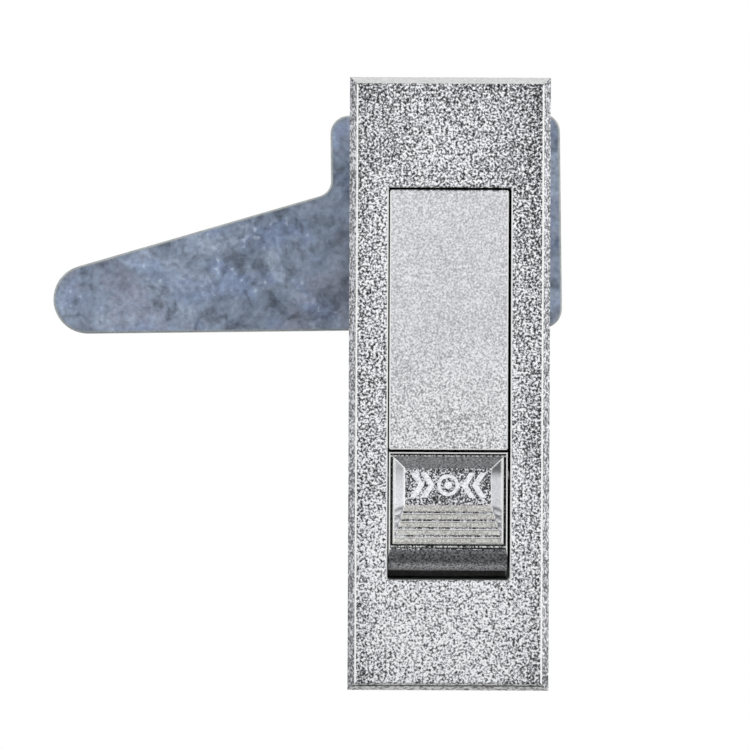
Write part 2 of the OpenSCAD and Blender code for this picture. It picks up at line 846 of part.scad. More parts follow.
module cam_nut() color("silver")
    difference() {
        translate([0, at(nut_back), axis_z])
            rotate([90, 0, 0])
                intersection() {
                    cylinder(d = nut_w / cos(30), h = nut_h, $fn = 6);
                    cylinder(r1 = nut_w / 2, r2 = nut_w / 2 + nut_h, h = nut_h);
                    cylinder(r2 = nut_w / 2, r1 = nut_w / 2 + nut_h, h = nut_h);
                }
        bar_y(thread_r + snug, nut_front - over, nut_back + over, 0, axis_z);
    }

housing();
flange_gasket();
clamp_brackets();
clamp_screws();
clamp_washers();
handle();
handle_pin();
handle_yoke();
handle_spring();
push_button();
button_pin();
button_spring();
spindle();
spindle_bush();
spindle_o_ring();
friction_washer();
stop_washer();
cam();
cam_washer();
cam_lock_washer();
cam_nut();
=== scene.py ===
"""Looks of a flush cabinet lock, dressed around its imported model. Metres, face along -Y, Z up."""

import math

import bmesh
import bpy
from mathutils import Matrix, Vector


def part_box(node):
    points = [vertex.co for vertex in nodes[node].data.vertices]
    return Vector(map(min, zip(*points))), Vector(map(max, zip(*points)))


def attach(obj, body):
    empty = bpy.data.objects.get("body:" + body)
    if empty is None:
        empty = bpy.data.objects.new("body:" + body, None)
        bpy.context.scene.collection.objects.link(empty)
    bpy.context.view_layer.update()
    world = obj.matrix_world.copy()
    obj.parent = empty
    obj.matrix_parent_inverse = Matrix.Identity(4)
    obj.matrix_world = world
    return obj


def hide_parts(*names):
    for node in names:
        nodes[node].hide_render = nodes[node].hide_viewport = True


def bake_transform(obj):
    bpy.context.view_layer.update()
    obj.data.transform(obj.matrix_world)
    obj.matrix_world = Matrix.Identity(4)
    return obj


MM = 0.001

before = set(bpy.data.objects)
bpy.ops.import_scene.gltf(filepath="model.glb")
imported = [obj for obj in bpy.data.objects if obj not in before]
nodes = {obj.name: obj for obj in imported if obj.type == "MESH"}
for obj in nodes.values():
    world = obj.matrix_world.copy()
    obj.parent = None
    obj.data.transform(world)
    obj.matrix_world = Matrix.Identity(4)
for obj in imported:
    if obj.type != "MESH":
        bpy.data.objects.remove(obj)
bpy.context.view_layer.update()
face_low, face_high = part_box("housing")
handle_low, handle_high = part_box("handle")
button_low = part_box("push_button")[0]
cam_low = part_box("cam")[0]
face_y = face_low.y


# Shares of a normal along an axis, which tell the way a face looks

FLAT = 0.999
LEAN = 0.9
FACING = 0.5
SIDEWAYS = 0.3
SEEN = 0.2
LEVEL = 0.1
SLIGHT = 0.05


# Places on the button's face

STEP = 0.4 * MM
NEAR = 0.02 * MM
DISH_MOST = 2.5 * MM
BESIDE_SHARE = 0.2

button = nodes["push_button"].data


def largest(faces):
    """The largest of some faces."""
    return max(faces, key=lambda face: face.area)


def flat_points(least, most):
    """Corners of the button's largest flat, from least to most behind the lock's face."""
    flats = [face for face in button.polygons
             if -face.normal.y > FLAT and least < face.center.y - face_y < most]
    main = largest(flats)
    beside = [face for face in flats
              if abs(face.center.y - main.center.y) < NEAR and face.area > main.area * BESIDE_SHARE]
    return [button.vertices[index].co for face in beside for index in face.vertices]


floor_points = flat_points(STEP, DISH_MOST)
floor_y = floor_points[0].y
floor_end = min(point.z for point in floor_points)
floor_top = max(point.z for point in floor_points)
floor_left = min(point.x for point in floor_points)
floor_right = max(point.x for point in floor_points)
rim_points = flat_points(-STEP, STEP)
rim_top = max(point.z for point in rim_points)
flat_end = min(point.z for point in rim_points)
front_faces = [face for face in button.polygons if -face.normal.y > FACING]
ramp_face = largest(face for face in front_faces if face.normal.z > LEVEL)
ramp_normal = ramp_face.normal
dish_faces = [face for face in front_faces if floor_end < face.center.z < floor_top]
left_side = largest(face for face in dish_faces if face.normal.x > SIDEWAYS)
right_side = largest(face for face in dish_faces if face.normal.x < -SIDEWAYS)


def in_groove(face):
    """Whether a face of the button belongs to a groove across the ramp."""
    centre = face.center
    normal = face.normal
    on_ramp = flat_end + STEP < centre.z < floor_end and STEP < centre.y - face_y < DISH_MOST
    turned_down = -normal.y > SEEN and normal.z < ramp_normal.z - SLIGHT
    return on_ramp and turned_down and abs(normal.x) < LEVEL


def groove_heights():
    """Heights of the grooves across the ramp, from the upper one down."""
    heights = sorted((face.center.z for face in button.polygons if in_groove(face)), reverse=True)
    groups = [[heights[0]]]
    for height in heights[1:]:
        if groups[-1][-1] - height > STEP:
            groups.append([])
        groups[-1].append(height)
    return [sum(group) / len(group) for group in groups]


grooves = groove_heights()
rib_pitch = (grooves[0] - grooves[-1]) / (len(grooves) - 1)


# Shader trees

MIDDLE = 0.5
NOISE_LOW = 0.3
NOISE_HIGH = 0.7
# Sockets of a colour mix: amount, first and second colour, and the result
MIX_INPUTS = (0, 6, 7)
MIX_RESULT = 2
EDGE_SAMPLES = 8
EDGE_FLAT = 0.995
EDGE_SHARP = 0.97
WORN_EDGE = 0.22 * MM
WORN_SHARE = 0.6
WORN_COLOUR = (0.85, 0.86, 0.88)


class Tree:
    """A material's node tree, built by short calls."""

    def __init__(self, name, metallic=0.0):
        self.material = bpy.data.materials.new(name)
        self.material.use_nodes = True
        self.nodes = self.material.node_tree.nodes
        self.links = self.material.node_tree.links
        self.nodes.clear()
        self.shader = self.add("ShaderNodeBsdfPrincipled")
        output = self.add("ShaderNodeOutputMaterial")
        self.join(self.shader.outputs["BSDF"], output.inputs["Surface"])
        self.place = self.add("ShaderNodeTexCoord").outputs["Object"]
        self.set(metallic=metallic)

    def add(self, kind, **settings):
        """A new node with some of its settings."""
        node = self.nodes.new(kind)
        for key, value in settings.items():
            setattr(node, key, value)
        return node

    def join(self, source, target):
        """Links an output to a socket."""
        self.links.new(source, target)

    def set(self, **values):
        """Sets the shader's own sockets."""
        for key, value in values.items():
            self.shader.inputs[key.replace("_", " ").title()].default_value = value

    def stretched(self, stretch):
        """The place in the object, stretched along its axes."""
        if stretch is None:
            return self.place
        mapping = self.add("ShaderNodeMapping")
        mapping.inputs["Scale"].default_value = stretch
        self.join(self.place, mapping.inputs["Vector"])
        return mapping.outputs["Vector"]

    def noise(self, grain, detail=1.0, roughness=0.5, distortion=0.0, stretch=None):
        """Noise whose spots are about one grain across."""
        node = self.add("ShaderNodeTexNoise")
        node.inputs["Scale"].default_value = 1.0 / grain
        node.inputs["Detail"].default_value = detail
        node.inputs["Roughness"].default_value = roughness
        node.inputs["Distortion"].default_value = distortion
        self.join(self.stretched(stretch), node.inputs["Vector"])
        return node.outputs["Fac"]

    def between(self, source, low, high):
        """0 to 1 as a value goes from low to high."""
        node = self.add("ShaderNodeMapRange")
        node.inputs["From Min"].default_value = low
        node.inputs["From Max"].default_value = high
        self.join(source, node.inputs["Value"])
        return node.outputs["Result"]

    def at(self, axis):
        """The place along an axis."""
        split = self.add("ShaderNodeSeparateXYZ")
        self.join(self.place, split.inputs["Vector"])
        return split.outputs[axis]

    def along(self, axis, low, high):
        """0 to 1 as the place goes from low to high along an axis."""
        return self.between(self.at(axis), low, high)

    def line(self, axis, middle, half):
        """1 on a line across an axis, fading to 0 at half its width."""
        off = self.math("ABSOLUTE", self.math("SUBTRACT", self.at(axis), middle))
        return self.between(off, half, 0.0)

    def ramp(self, source, stops):
        """Colour ramp from (place, colour) stops; a number stands for a grey."""
        node = self.add("ShaderNodeValToRGB")
        ramp = node.color_ramp
        while len(ramp.elements) < len(stops):
            ramp.elements.new(MIDDLE)
        for element, (place, colour) in zip(ramp.elements, stops):
            element.position = place
            grey = isinstance(colour, (int, float))
            element.color = (colour, colour, colour, 1.0) if grey else (*colour, 1.0)
        self.join(source, node.inputs["Fac"])
        return node.outputs["Color"]

    def math(self, operation, *values):
        """One operation on numbers and outputs."""
        node = self.add("ShaderNodeMath", operation=operation)
        for socket, value in zip(node.inputs, values):
            if isinstance(value, (int, float)):
                socket.default_value = value
            else:
                self.join(value, socket)
        return node.outputs["Value"]

    def total(self, *values):
        """Several values added up."""
        result = values[0]
        for value in values[1:]:
            result = self.math("ADD", result, value)
        return result

    def mix(self, amount, first, second, blend="MIX"):
        """An amount of a second colour over a first one; each is an output or a constant."""
        node = self.add("ShaderNodeMix", data_type="RGBA", blend_type=blend, clamp_result=True)
        for index, value in zip(MIX_INPUTS, (amount, first, second)):
            socket = node.inputs[index]
            if isinstance(value, (int, float)):
                socket.default_value = value
            elif isinstance(value, tuple):
                socket.default_value = (*value, 1.0)
            else:
                self.join(value, socket)
        return node.outputs[MIX_RESULT]

    def shaded(self, colour, shade):
        """A colour times a shade."""
        return self.mix(1.0, colour, shade, blend="MULTIPLY")

    def edges(self, width):
        """1 along sharp edges, 0 on the faces between them."""
        rounded = self.add("ShaderNodeBevel", samples=EDGE_SAMPLES)
        rounded.inputs["Radius"].default_value = width
        dot = self.add("ShaderNodeVectorMath", operation="DOT_PRODUCT")
        self.join(rounded.outputs["Normal"], dot.inputs[0])
        self.join(self.add("ShaderNodeNewGeometry").outputs["Normal"], dot.inputs[1])
        return self.between(dot.outputs["Value"], EDGE_FLAT, EDGE_SHARP)

    def worn(self, colour):
        """A colour, paler along sharp edges."""
        share = self.math("MULTIPLY", self.edges(WORN_EDGE), WORN_SHARE)
        return self.mix(share, colour, WORN_COLOUR)

    def colour(self, source):
        """Sets the shader's colour from an output."""
        self.join(source, self.shader.inputs["Base Color"])

    def rough(self, source, low, high, last=NOISE_HIGH):
        """Roughness from low to high as a value goes from a noise's low end to last."""
        self.join(self.ramp(source, [(NOISE_LOW, low), (last, high)]), self.shader.inputs["Roughness"])

    def bump(self, height, depth):
        """Relief of a depth from a height of 0 to 1."""
        node = self.add("ShaderNodeBump")
        node.inputs["Distance"].default_value = depth
        self.join(height, node.inputs["Height"])
        self.join(node.outputs["Normal"], self.shader.inputs["Normal"])


# Grains, reliefs and tints of the materials

GRAIN = 0.4 * MM
SAND = 0.36 * MM
FINE_SAND = 0.26 * MM
PATCH = 7.0 * MM
PATCH_SHARE = 0.2
SAND_BUMP = 0.04 * MM
COARSE_BUMP = 0.03 * MM
MATTE_BUMP = 0.02 * MM
HANDLE_BUMP = 0.012 * MM
SATIN_BUMP = 0.01 * MM
METAL_BUMP = 0.008 * MM
WHITE = (1.0, 1.0, 1.0)
COOL = (0.98, 0.99, 1.04)
WARM = (1.0, 0.99, 0.95)


def tinted(stops, tint):
    """Ramp stops whose grey levels take a tint, none brighter than white."""
    return [(place, tuple(min(1.0, level * share) for share in tint)) for place, level in stops]


# Chrome of the plate and the handle

CLUSTER = 1.0 * MM
CLUSTER_SHARE = 0.2
FACE_PATCH_SHARE = 0.08
SPECKLES = (0.45, 0.525, 0.59, 0.655, 0.71)
# Painted shade on the sand chrome: darker to the top (on the bevels lighter to the top), to the right and
# near the face's edges
FACE_TOP_SHADE = 0.05
BEVEL_TOP_SHADE = -0.03
RIGHT_PAINTED_SHADE = 0.01
SIDE_POWER = 4.0
END_POWER = 12.0
END_PAINTED_SHADE = 0.045
SAND_SPREAD = 0.08
SATIN_SPREAD = 0.05
HANDLE_GRAIN = 0.28 * MM
HANDLE_TINT = (0.985, 0.995, 1.035)
# Painted light on the pocket's right wall, beside the button's round end
WALL_FADE = 0.8 * MM
WALL_IN = 0.2 * MM
PAINTED_LIGHT_WALL = (0.78, 0.81, 0.81)
FOOT_H = 1.1 * MM
FOOT_GRAIN = 0.3 * MM
FOOT_STRETCH = (0.5, 1.0, 1.0)


def painted_shade_by_place(tree, rise):
    """Painted shade: how much darker the grains are made towards the top, the right and near the edges of
    the face.
    """
    upward = tree.along("Z", face_low.z, face_high.z)
    sideways = tree.along("X", face_low.x, face_high.x)
    off_middle = tree.math("ABSOLUTE", tree.math("SUBTRACT", sideways, MIDDLE))
    off_level = tree.math("ABSOLUTE", tree.math("SUBTRACT", tree.math("MULTIPLY", upward, 2.0), 1.0))
    at_sides = tree.math("POWER", off_middle, SIDE_POWER)
    at_ends = tree.math("MULTIPLY", tree.math("POWER", off_level, END_POWER), END_PAINTED_SHADE)
    top_shading = tree.math("MULTIPLY", upward, rise)
    return tree.total(top_shading, tree.math("MULTIPLY", sideways, RIGHT_PAINTED_SHADE), at_sides, at_ends)


def speckled_chrome(name, levels, roughness, rise=FACE_TOP_SHADE, grain=SAND):
    """Chrome over a sand texture: pepper and salt grains, in slow patches, with painted shade by place on
    the face.
    """
    tree = Tree(name, metallic=1.0)
    grains = tree.noise(grain, detail=2.0, roughness=0.65)
    clusters = tree.math("MULTIPLY", tree.noise(CLUSTER), CLUSTER_SHARE)
    patches = tree.math("MULTIPLY", tree.noise(PATCH, detail=2.0), FACE_PATCH_SHARE)
    # Painted shade: the grains are darkened by their place on the face
    graded = tree.math("SUBTRACT", tree.total(grains, clusters, patches), painted_shade_by_place(tree, rise))
    tree.colour(tree.ramp(graded, tinted(zip(SPECKLES, levels), COOL)))
    tree.rough(grains, roughness - SAND_SPREAD, roughness + SAND_SPREAD)
    tree.bump(grains, SAND_BUMP)
    return tree.material


def satin_chrome(name, level, spread, roughness, grain=GRAIN, tint=WHITE, worn=False):
    """Fine matte chrome with a faint grain and slow cloudiness."""
    tree = Tree(name, metallic=1.0)
    grains = tree.noise(grain, roughness=0.6)
    clouds = tree.noise(PATCH, detail=2.0)
    shifted = tree.total(grains, tree.math("MULTIPLY", clouds, PATCH_SHARE))
    base = tree.ramp(shifted, tinted([(0.4, level - spread), (0.8, level + spread)], tint))
    tree.colour(tree.worn(base) if worn else base)
    tree.rough(clouds, roughness - SATIN_SPREAD, roughness + SATIN_SPREAD)
    tree.bump(grains, SATIN_BUMP)
    return tree.material


def handle_chrome():
    """Satin chrome, fine on the handle's upper half and coarser towards its lower end."""
    tree = Tree("satin_chrome", metallic=1.0)
    grains = tree.noise(HANDLE_GRAIN, roughness=0.6)
    clouds = tree.noise(PATCH, detail=2.0)
    shifted = tree.total(grains, tree.math("MULTIPLY", clouds, PATCH_SHARE))
    fine = tree.ramp(shifted, tinted([(0.4, 0.42), (0.8, 0.9)], HANDLE_TINT))
    coarse = tree.ramp(shifted, tinted([(0.44, 0.22), (0.6, 0.7), (0.76, 1.0)], HANDLE_TINT))
    middle_z = (handle_low.z + handle_high.z) / 2
    tree.colour(tree.mix(tree.along("Z", middle_z, handle_low.z), fine, coarse))
    tree.rough(clouds, low=0.37, high=0.47)
    tree.bump(grains, HANDLE_BUMP)
    return tree.material


def shaded_pocket_chrome():
    """Chrome of the pocket, darkened as painted shade, with painted light on its right side beside the
    button's round end.
    """
    tree = Tree("shaded_pocket_chrome", metallic=0.3)
    grains = tree.noise(GRAIN, roughness=0.6)
    # Painted shade: the pocket's chrome is darkened
    dark = tree.ramp(grains, [(0.4, 0.18), (0.8, 0.3)])
    beside = tree.math("MULTIPLY", tree.along("Z", flat_end, flat_end - WALL_FADE),
                       tree.along("X", handle_high.x, handle_high.x + WALL_IN))
    tree.colour(tree.mix(beside, dark, PAINTED_LIGHT_WALL))
    tree.rough(grains, low=0.45, high=0.55)
    tree.bump(grains, SATIN_BUMP)
    return tree.material


def foot_chrome():
    """Dull chrome of the lower bevel, with a dark line below its upper edge."""
    tree = Tree("foot_chrome", metallic=1.0)
    grains = tree.noise(FOOT_GRAIN, roughness=0.6, stretch=FOOT_STRETCH)
    upward = tree.along("Z", face_low.z, face_low.z + FOOT_H)
    base = tree.ramp(upward, [(0.5, 0.86), (0.62, 0.2), (0.74, 0.2), (0.84, 0.92)])
    tree.colour(tree.shaded(base, tree.ramp(grains, [(0.36, 0.35), (0.64, 1.5)])))
    tree.rough(grains, low=0.45, high=0.55)
    tree.bump(grains, MATTE_BUMP)
    return tree.material


# Chrome of the button

END_GRAIN = 0.3 * MM
DISH_TOP_GRAIN = 0.3 * MM
RAMP_GRAIN = 0.25 * MM
# Places and look of the painted highlight lines on the button's rim
LINE_IN = 0.38 * MM
LINE_HALF = 0.17 * MM
DASH_STRETCH = (1.2, 1.0, 0.8)
HIGHLIGHT_DASH_COLOUR = (0.92, 0.93, 0.95)
WAVE_LEAN = 0.4
WAVE_FADE = 0.3 * MM
# Widths of the painted highlights on the dish's sides
SIDE_HIGHLIGHT_WIDTH = 0.5 * MM
INNER_HIGHLIGHT_WIDTH = 0.4 * MM


def end_painted_light_chrome():
    """Chrome of the button's round end, darkened as a painted dark reflection and paler to its foot as
    painted light.
    """
    tree = Tree("end_painted_light_chrome", metallic=1.0)
    grains = tree.noise(END_GRAIN, detail=2.0, roughness=0.65)
    downward = tree.along("Z", flat_end, button_low.z)
    # Painted light: dark along the round, pale at its foot
    base = tree.ramp(downward, tinted([(0.0, 0.19), (0.45, 0.17), (0.62, 0.3), (0.78, 0.9)], COOL))
    tree.colour(tree.shaded(base, tree.ramp(grains, [(0.36, 0.2), (0.64, 1.7)])))
    tree.rough(downward, low=0.4, high=0.85, last=1.0)
    tree.bump(grains, COARSE_BUMP)
    return tree.material


def rim_painted_light_chrome():
    """Grained chrome of the button's rim, darkened as a painted dark reflection, with a broken painted
    highlight along its upper and lower strips.
    """
    tree = Tree("button_rim", metallic=1.0)
    grains = tree.noise(GRAIN, detail=2.0, roughness=0.65)
    lines = tree.math("MAXIMUM", tree.line("Z", flat_end + LINE_IN, LINE_HALF),
                      tree.line("Z", rim_top - LINE_IN, LINE_HALF))
    highlight_dashes = tree.ramp(tree.noise(GRAIN, stretch=DASH_STRETCH), [(0.42, 0.0), (0.56, 1.0)])
    # Painted dark reflection on the rim's chrome; the dashes along the two lines are painted highlights
    dark = tree.ramp(grains, [(0.42, 0.008), (0.54, 0.018), (0.66, 0.13)])
    tree.colour(tree.mix(tree.math("MULTIPLY", lines, highlight_dashes), dark, HIGHLIGHT_DASH_COLOUR))
    tree.rough(grains, low=0.28, high=0.4)
    tree.bump(grains, COARSE_BUMP)
    return tree.material


def painted_rib_shade(tree):
    """Painted shade: dark waves where the ribs run out on the dish's sides, lower to the outside."""
    outward = tree.math("MULTIPLY", tree.math("ABSOLUTE", tree.at("X")), WAVE_LEAN)
    origin = grooves[0] + rib_pitch / 2 + WAVE_LEAN * abs(left_side.center.x)
    fall = tree.math("SUBTRACT", tree.total(tree.at("Z"), outward), origin)
    wave = tree.math("COSINE", tree.math("MULTIPLY", fall, 2 * math.pi / rib_pitch))
    below = tree.along("Z", floor_end + WAVE_FADE, floor_end - WAVE_FADE)
    return tree.math("MULTIPLY", tree.between(wave, -1.0, 1.0), below)


def side_painted_light_chrome(name, edge_highlights):
    """Chrome of the dish's sides with painted light: painted shade towards their upper corners, the right
    side most, painted dark waves below and, if asked, painted highlights along the edges.
    """
    tree = Tree(name, metallic=1.0)
    grains = tree.noise(GRAIN, roughness=0.6)
    upward = tree.along("Z", floor_end, floor_top)
    # Painted shade: each side darkens towards its upper corner, the right side more than the left
    left = tree.ramp(upward, tinted([(0.05, 0.74), (0.55, 0.64), (0.8, 0.56), (1.0, 0.4)], COOL))
    right = tree.ramp(upward, tinted([(0.72, 0.65), (0.83, 0.46), (0.93, 0.2), (1.0, 0.14)], COOL))
    base = tree.mix(tree.along("X", -STEP, STEP), left, right)
    grained = tree.shaded(base, tree.ramp(grains, [(0.3, 0.88), (0.7, 1.1)]))
    # Painted shade of the ribs' ends
    with_painted_light = tree.shaded(grained, tree.ramp(painted_rib_shade(tree), [(0.0, 1.0), (1.0, 0.42)]))
    if edge_highlights:
        # Painted highlights: white along the sharp edges and on a line by the floor's left edge
        above = tree.along("Z", floor_end - NEAR, floor_end)
        inner_highlight = tree.math("MULTIPLY", tree.line("X", floor_left, INNER_HIGHLIGHT_WIDTH), above)
        with_painted_light = tree.mix(tree.math("MAXIMUM", tree.edges(SIDE_HIGHLIGHT_WIDTH), inner_highlight), with_painted_light, WHITE)
    tree.colour(with_painted_light)
    tree.rough(grains, low=0.16, high=0.22)
    tree.bump(grains, SATIN_BUMP)
    return tree.material


# Zinc, steel, bronze and rubber

CAM_CLOUD = 7.0 * MM
CAM_BLOTCH = 2.6 * MM
CAM_VIOLET = 5.0 * MM
CAM_BLUE = 6.0 * MM
CAM_FLECK = 0.8 * MM
# Painted highlight along the cam's edges
CAM_RIM = 0.6 * MM
CAM_RIM_SHARE = 0.8
CAM_RIM_HIGHLIGHT_COLOUR = (0.37, 0.375, 0.335)
BLUE_STRETCH = (1.0, 1.0, 1.4)
VIOLET_ZINC = (0.25, 0.25, 0.32)
BLUE_ZINC = (0.235, 0.31, 0.5)
SPECK_COLOUR = (0.66, 0.72, 0.82)
CAM_EDGE_GRAIN = 0.4 * MM
ZINC_GRAIN = 0.25 * MM
PIN_GRAIN = 0.15 * MM
PIN_STREAK = (0.1, 1.0, 1.0)
FINE_GRAIN = 0.2 * MM
METAL_CLOUD = 3.0 * MM
METAL_SMOOTHER = 0.08
METAL_ROUGHER = 0.1
RUBBER_GRAIN = 0.25 * MM
RUBBER_BLOOM = 5.0 * MM
DUST_COLOUR = (0.06, 0.06, 0.058)


def cam_zinc():
    """Blue zinc plate: soft clouds, dark, violet and blue blotches, a few bright specks, painted light
    towards the hub and a pale grey rim along the edges as a painted highlight.
    """
    tree = Tree("cam_zinc", metallic=0.7)
    clouds = tree.noise(CAM_CLOUD, detail=6.0, roughness=0.62, distortion=0.8)
    blotches = tree.noise(CAM_BLOTCH, detail=4.0, roughness=0.6, distortion=0.5)
    violet = tree.noise(CAM_VIOLET, detail=3.0, roughness=0.6, distortion=0.4)
    blue = tree.noise(CAM_BLUE, detail=3.0, stretch=BLUE_STRETCH)
    flecks = tree.noise(CAM_FLECK, detail=2.0, roughness=0.6)
    specks = tree.noise(CAM_FLECK, detail=0.0)
    body = tree.ramp(clouds, [(0.3, (0.13, 0.16, 0.22)), (0.46, (0.215, 0.265, 0.35)),
                              (0.56, (0.27, 0.325, 0.425)), (0.7, (0.4, 0.475, 0.59))])
    warmed = tree.mix(tree.ramp(violet, [(0.5, 0.0), (0.66, 0.5)]), body, VIOLET_ZINC)
    cooled = tree.mix(tree.ramp(blue, [(0.5, 0.0), (0.66, 0.5)]), warmed, BLUE_ZINC)
    blotched = tree.shaded(cooled, tree.ramp(blotches, [(0.34, 0.6), (0.48, 1.0), (0.68, 1.18)]))
    flecked = tree.shaded(blotched, tree.ramp(flecks, [(0.3, 0.76), (0.5, 1.0), (0.7, 1.2)]))
    # Painted light: the cam is made lighter towards the hub, against the shade there
    painted_hub_light = tree.ramp(tree.along("X", cam_low.x, face_low.x), [(0.7, 0.96), (1.0, 1.12)])
    graded = tree.shaded(flecked, painted_hub_light)
    some = tree.ramp(blue, [(0.5, 0.0), (0.6, 1.0)])
    sparkle = tree.math("MULTIPLY", tree.ramp(specks, [(0.7, 0.0), (0.8, 0.45)]), some)
    speckled = tree.mix(sparkle, graded, SPECK_COLOUR)
    # Painted highlight: a pale grey rim along the cam's edges
    rim = tree.math("MULTIPLY", tree.edges(CAM_RIM), CAM_RIM_SHARE)
    tree.colour(tree.mix(rim, speckled, CAM_RIM_HIGHLIGHT_COLOUR))
    tree.rough(flecks, low=0.36, high=0.46)
    tree.bump(flecks, MATTE_BUMP)
    return tree.material


def grained_metal(name, colour, roughness, grain, streak=None, worn=False):
    """Plated or ground metal with slow clouds and a fine grain, drawn out to lines by a streak."""
    tree = Tree(name, metallic=1.0)
    grains = tree.noise(grain, detail=3.0, roughness=0.6, stretch=streak)
    clouds = tree.noise(METAL_CLOUD, detail=2.0)
    base = tree.ramp(grains, tinted([(0.3, 0.72), (0.5, 1.0), (0.7, 1.18)], colour))
    shaded = tree.shaded(base, tree.ramp(clouds, [(0.3, 0.85), (0.7, 1.1)]))
    tree.colour(tree.worn(shaded) if worn else shaded)
    tree.rough(grains, roughness - METAL_SMOOTHER, roughness + METAL_ROUGHER)
    tree.bump(grains, METAL_BUMP)
    return tree.material


def rubber():
    """Matte black rubber with a dusty bloom."""
    tree = Tree("rubber")
    grains = tree.noise(RUBBER_GRAIN, detail=3.0)
    bloom = tree.noise(RUBBER_BLOOM, detail=3.0)
    base = tree.ramp(grains, [(0.35, 0.012), (0.65, 0.024)])
    dust = tree.ramp(bloom, [(0.45, 0.0), (0.75, 0.25)])
    tree.colour(tree.mix(dust, base, DUST_COLOUR))
    tree.rough(grains, low=0.62, high=0.8)
    tree.bump(grains, MATTE_BUMP)
    return tree.material


# Materials

FACE = speckled_chrome("sand_chrome", levels=(0.03, 0.155, 0.47, 0.88, 1.0), roughness=0.34)
# Painted light: copies of the chrome for the bevels by the way they face, the left one shaded, the right
# one and the top one lit
SHADED_LEFT_BEVEL = speckled_chrome("shaded_left_bevel_chrome", levels=(0.1, 0.17, 0.3, 0.5, 0.76), roughness=0.36,
                             rise=BEVEL_TOP_SHADE)
LIT_RIGHT_BEVEL = speckled_chrome("lit_right_bevel_chrome", levels=(0.12, 0.22, 0.42, 0.68, 0.96), roughness=0.36,
                              rise=BEVEL_TOP_SHADE)
FOOT_BEVEL = foot_chrome()
LIT_TOP_BEVEL = satin_chrome("lit_top_bevel_chrome", level=0.67, spread=0.08, roughness=0.34)
CAST = satin_chrome("cast_chrome", level=0.42, spread=0.08, roughness=0.42, worn=True)
SHADED_POCKET = shaded_pocket_chrome()
# Pale chrome of the narrow edge faces: partly real polish, partly a painted highlight of the light the
# edges catch
EDGE_HIGHLIGHT = satin_chrome("edge_highlight_chrome", level=0.9, spread=0.04, roughness=0.24)
HANDLE = handle_chrome()
BUTTON = satin_chrome("button_chrome", level=0.66, spread=0.06, roughness=0.18, tint=COOL)
# Both carry painted shade on the dish's sides; the first also painted highlights along their edges
BUTTON_SIDE = side_painted_light_chrome("side_painted_light_chrome", edge_highlights=True)
RIB_END = side_painted_light_chrome("rib_chrome", edge_highlights=False)
# Painted shade: a darker copy of the button's chrome for the dish's upper slope, which faces down
SHADED_DISH_TOP = satin_chrome("dish_top", level=0.4, spread=0.22, roughness=0.26, grain=DISH_TOP_GRAIN,
                          tint=COOL)
BUTTON_RIM = rim_painted_light_chrome()
BUTTON_FLOOR = speckled_chrome("button_floor", levels=(0.025, 0.05, 0.14, 0.38, 0.9), roughness=0.3,
                               grain=FINE_SAND)
BUTTON_RAMP = satin_chrome("ramp_chrome", level=0.52, spread=0.24, roughness=0.38, grain=RAMP_GRAIN,
                           tint=WARM)
# Painted shade: a dark copy of the sand chrome for the grooves across the ramp
SHADED_GROOVE = speckled_chrome("shaded_groove_chrome", levels=(0.02, 0.05, 0.13, 0.34, 0.85), roughness=0.36,
                                grain=FINE_SAND)
BUTTON_END = end_painted_light_chrome()
SIGN = speckled_chrome("sign_chrome", levels=(0.58, 0.72, 0.85, 0.95, 1.0), roughness=0.28)
SIGN_EDGE = satin_chrome("sign_edge", level=0.93, spread=0.07, roughness=0.24, tint=COOL)
CAM = cam_zinc()
# Painted highlight: pale zinc on the cam's broken edges
CAM_EDGE_HIGHLIGHT = grained_metal("cam_edge_highlight", colour=(0.42, 0.45, 0.46), roughness=0.4, grain=CAM_EDGE_GRAIN)
ZINC = grained_metal("zinc_steel", colour=(0.5, 0.51, 0.53), roughness=0.34, grain=ZINC_GRAIN, worn=True)
PIN = grained_metal("pin_steel", colour=(0.58, 0.58, 0.59), roughness=0.25, grain=PIN_GRAIN,
                    streak=PIN_STREAK)
SPRING = grained_metal("spring_steel", colour=(0.28, 0.28, 0.29), roughness=0.3, grain=FINE_GRAIN)
BRONZE = grained_metal("bronze", colour=(0.52, 0.34, 0.15), roughness=0.42, grain=FINE_GRAIN)
RUBBER = rubber()

NODE_MATERIALS = {
    "flange_gasket": RUBBER, "spindle_o_ring": RUBBER,
    "clamp_brackets": ZINC, "clamp_screws": ZINC, "clamp_washers": ZINC,
    "handle_yoke": ZINC, "spindle": ZINC, "stop_washer": ZINC,
    "cam_washer": ZINC, "cam_nut": ZINC,
    "handle_pin": PIN, "button_pin": PIN,
    "handle_spring": SPRING, "button_spring": SPRING, "cam_lock_washer": SPRING,
    "spindle_bush": BRONZE, "friction_washer": BRONZE,
}


# Nodes of one material, and the cam with its broken edges

WELD = 0.001 * MM
CAM_BREAK = 0.25 * MM
BREAK_SEGMENTS = 2
FLAT_ANGLE = math.radians(1)
SHARP_ANGLE = math.radians(50)


def dress(node, *materials):
    """Puts materials in a node's slots, the first of them on every face."""
    mesh = nodes[node].data
    mesh.materials.clear()
    for material in materials:
        mesh.materials.append(material)
    for face in mesh.polygons:
        face.material_index = 0
    return mesh


def break_edges(node, width, material):
    """Rounds a node's sharp edges a little, with one of its materials on the rounds."""
    weld = nodes[node].modifiers.new("weld", "WELD")
    weld.merge_threshold = WELD
    flats = nodes[node].modifiers.new("flats", "DECIMATE")
    flats.decimate_type = "DISSOLVE"
    flats.angle_limit = FLAT_ANGLE
    bevel = nodes[node].modifiers.new("edges", "BEVEL")
    bevel.width = width
    bevel.segments = BREAK_SEGMENTS
    bevel.limit_method = "ANGLE"
    bevel.angle_limit = SHARP_ANGLE
    bevel.material = nodes[node].data.materials.find(material.name)


